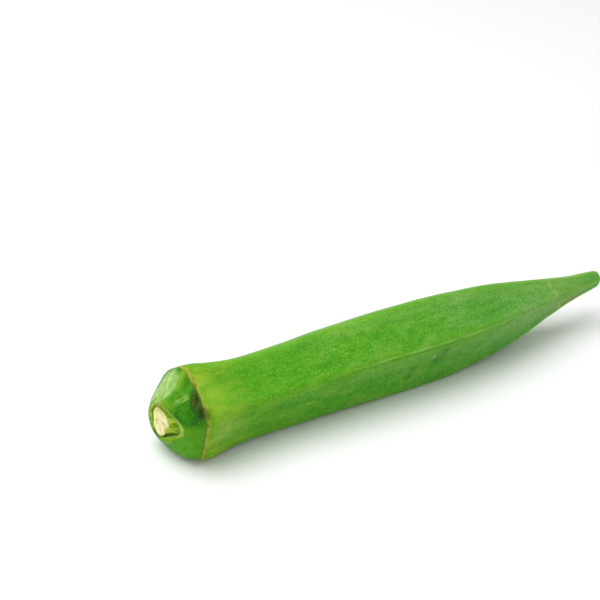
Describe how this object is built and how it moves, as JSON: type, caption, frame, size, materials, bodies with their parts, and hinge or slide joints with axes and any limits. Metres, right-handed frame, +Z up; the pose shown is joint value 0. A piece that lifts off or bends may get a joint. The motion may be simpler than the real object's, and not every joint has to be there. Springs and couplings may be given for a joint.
{
  "type": "okra pod",
  "caption": "Fresh okra pod lying on its side: a tapering, ridged green pod with a rounded cap, a scar line round it and a cut stem.",
  "frame": {"origin": "middle of the pod's box in X and Y, on the surface that it rests on", "axes": "+X along the pod from the cut stem to the tip, +Z up, with one ridge on top and a flat face underneath"},
  "size_m": [0.139, 0.0246, 0.023],
  "materials": {
    "okra_skin": "soft velvety skin, bright green and slightly translucent, with paler ridges and a cream cut stem"
  },
  "bodies": {
    "root": {"okra_pod": "okra_skin"}
  },
  "joints": []
}
